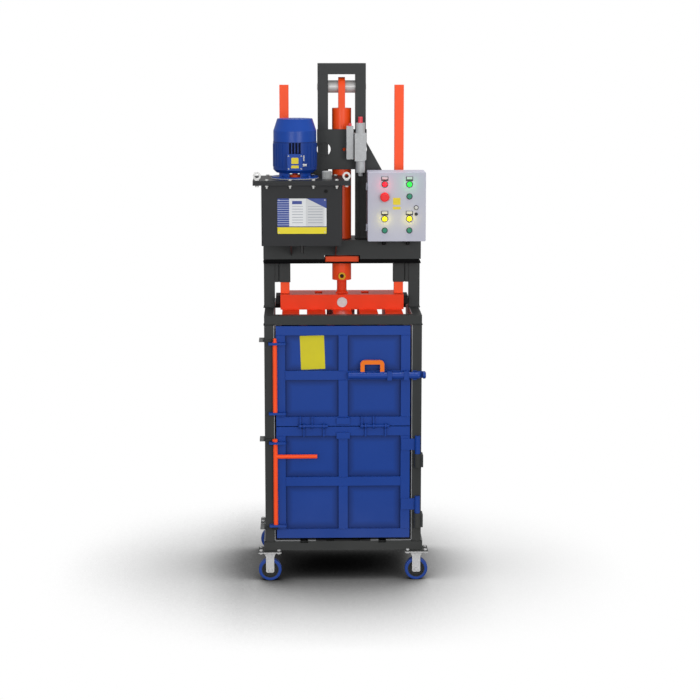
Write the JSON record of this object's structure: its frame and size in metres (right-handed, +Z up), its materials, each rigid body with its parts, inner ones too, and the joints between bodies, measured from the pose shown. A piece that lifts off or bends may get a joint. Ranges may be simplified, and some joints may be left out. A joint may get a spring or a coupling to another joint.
{
  "type": "recycling baler",
  "caption": "Small vertical recycling baler on casters: hydraulic ram over a tall chamber, hinged lower door, drop-down flap, oil tank with motor and a control box.",
  "frame": {"origin": "on the floor, under the middle of the whole machine's footprint", "axes": "+X to the operator's right, +Y from the doors to the back, +Z up"},
  "size_m": [0.753, 0.6524, 2.246],
  "materials": {
    "frame_paint": "satin powder coat",
    "black_paint": "satin",
    "blue_paint": "semi-gloss powder coat",
    "motor_paint": "semi-gloss",
    "red_paint": "semi-gloss powder coat",
    "cabinet_paint": "fine textured",
    "zinc": "zinc plated",
    "grey_metal": "knurled grey metal",
    "hard_chrome": "polished",
    "floor_steel": "mill finish",
    "blue_tyre": "smooth elastic rubber",
    "black_plastic": "matt",
    "red_plastic": "smooth",
    "green_plastic": "smooth",
    "lamp_plastic": "translucent"
  },
  "bodies": {
    "machine": {"base_rails": "frame_paint", "strap_channels": "frame_paint", "caster_forks": "zinc", "caster_fasteners": "zinc", "floor_plates": "floor_steel", "chamber_posts": "frame_paint", "chamber_rails": "frame_paint", "chamber_walls": "floor_steel", "upper_posts": "frame_paint", "guide_sleeves": "frame_paint", "crossbeam_base": "black_paint", "crossbeam": "frame_paint", "portal": "frame_paint", "gusset_plate": "frame_paint", "cylinder_barrel": "red_paint", "portal_pin": "zinc", "oil_tank": "frame_paint", "tank_cover": "frame_paint", "tank_fasteners": "zinc", "lifting_rings": "zinc", "motor_lantern": "motor_paint", "motor_body": "motor_paint", "motor_cowl": "motor_paint", "terminal_box": "motor_paint", "valve_body": "zinc", "valve_caps": "red_plastic", "cabinet_body": "cabinet_paint", "cabinet_glands": "black_plastic", "lock_keepers": "frame_paint", "door_hinges": "frame_paint", "bolt_receiver": "blue_paint"},
    "ram": {"piston_rod": "hard_chrome", "clevis_pin": "zinc", "platen": "red_paint", "guide_bars": "red_paint", "guide_pads": "black_plastic"},
    "lower_door": {"lower_door_frame": "blue_paint", "lower_door_panels": "blue_paint", "lower_door_fittings": "blue_paint"},
    "flap": {"flap_frame": "blue_paint", "flap_panels": "blue_paint", "flap_fittings": "blue_paint"},
    "lower_lock": {"lock_rod_lower": "red_paint"},
    "upper_lock": {"lock_rod_upper": "red_paint"},
    "bolt": {"flap_bolt": "blue_paint"},
    "wheel_fl": {"wheel_front_left": "blue_tyre"},
    "wheel_fr": {"wheel_front_right": "blue_tyre"},
    "wheel_rl": {"wheel_rear_left": "blue_tyre"},
    "wheel_rr": {"wheel_rear_right": "blue_tyre"},
    "rotor": {"motor_rotor": "red_paint"},
    "cabinet_front": {"cabinet_door": "cabinet_paint", "cabinet_fittings": "black_plastic", "lamp_lenses": "lamp_plastic"},
    "cabinet_latch": {"cabinet_lock": "zinc"},
    "stop": {"stop_button": "red_plastic"},
    "button_1": {"push_button_1": "green_plastic"},
    "button_2": {"push_button_2": "green_plastic"},
    "button_3": {"push_button_3": "green_plastic"},
    "cap": {"filler_cap": "grey_metal"}
  },
  "joints": [
    {"name": "press_stroke", "type": "slide", "parent": "machine", "child": "ram", "axis": [0, 0, -1], "range_m": [0, 0.6]},
    {"name": "lower_door_hinge", "type": "hinge", "parent": "machine", "child": "lower_door", "pos_m": [0.3285, -0.26125, 0.44], "axis": [0, 0, -1], "range_deg": [-100, 0]},
    {"name": "flap_hinge", "type": "hinge", "parent": "lower_door", "child": "flap", "pos_m": [0.0055, -0.26125, 0.696], "axis": [-1, 0, 0], "range_deg": [-90, 0]},
    {"name": "lower_lock_turn", "type": "hinge", "parent": "lower_door", "child": "lower_lock", "pos_m": [-0.2885, -0.26125, 0.43], "axis": [0, 0, 1], "range_deg": [-90, 0]},
    {"name": "upper_lock_slide", "type": "slide", "parent": "flap", "child": "upper_lock", "axis": [0, 0, 1], "range_m": [-0.02, 0]},
    {"name": "bolt_slide", "type": "slide", "parent": "flap", "child": "bolt", "axis": [1, 0, 0], "range_m": [-0.06, 0]},
    {"name": "wheel_fl_spin", "type": "hinge", "parent": "machine", "child": "wheel_fl", "pos_m": [-0.3155, -0.22625, 0.05], "axis": [0, 1, 0], "continuous": true},
    {"name": "wheel_fr_spin", "type": "hinge", "parent": "machine", "child": "wheel_fr", "pos_m": [0.3265, -0.22625, 0.05], "axis": [0, 1, 0], "continuous": true},
    {"name": "wheel_rl_spin", "type": "hinge", "parent": "machine", "child": "wheel_rl", "pos_m": [-0.3155, 0.28375, 0.05], "axis": [0, 1, 0], "continuous": true},
    {"name": "wheel_rr_spin", "type": "hinge", "parent": "machine", "child": "wheel_rr", "pos_m": [0.3265, 0.28375, 0.05], "axis": [0, 1, 0], "continuous": true},
    {"name": "motor_spin", "type": "hinge", "parent": "machine", "child": "rotor", "pos_m": [-0.1985, -0.16125, 1.8], "axis": [0, 0, 1], "continuous": true},
    {"name": "cabinet_door_hinge", "type": "hinge", "parent": "machine", "child": "cabinet_front", "pos_m": [0.1085, -0.18555, 1.64], "axis": [0, 0, 1], "range_deg": [-100, 0]},
    {"name": "cabinet_lock_turn", "type": "hinge", "parent": "cabinet_front", "child": "cabinet_latch", "pos_m": [0.3205, -0.19125, 1.637], "axis": [0, 1, 0], "range_deg": [0, 90]},
    {"name": "stop_press", "type": "slide", "parent": "cabinet_front", "child": "stop", "axis": [0, 1, 0], "range_m": [0, 0.005]},
    {"name": "filler_cap_turn", "type": "hinge", "parent": "machine", "child": "cap", "pos_m": [-0.0625, -0.23325, 1.77], "axis": [0, 0, 1], "continuous": true},
    {"name": "button_1_press", "type": "slide", "parent": "cabinet_front", "child": "button_1", "axis": [0, 1, 0], "range_m": [0, 0.004], "stiffness_N_per_m": 400},
    {"name": "button_2_press", "type": "slide", "parent": "cabinet_front", "child": "button_2", "axis": [0, 1, 0], "range_m": [0, 0.004], "stiffness_N_per_m": 400},
    {"name": "button_3_press", "type": "slide", "parent": "cabinet_front", "child": "button_3", "axis": [0, 1, 0], "range_m": [0, 0.004], "stiffness_N_per_m": 400}
  ]
}
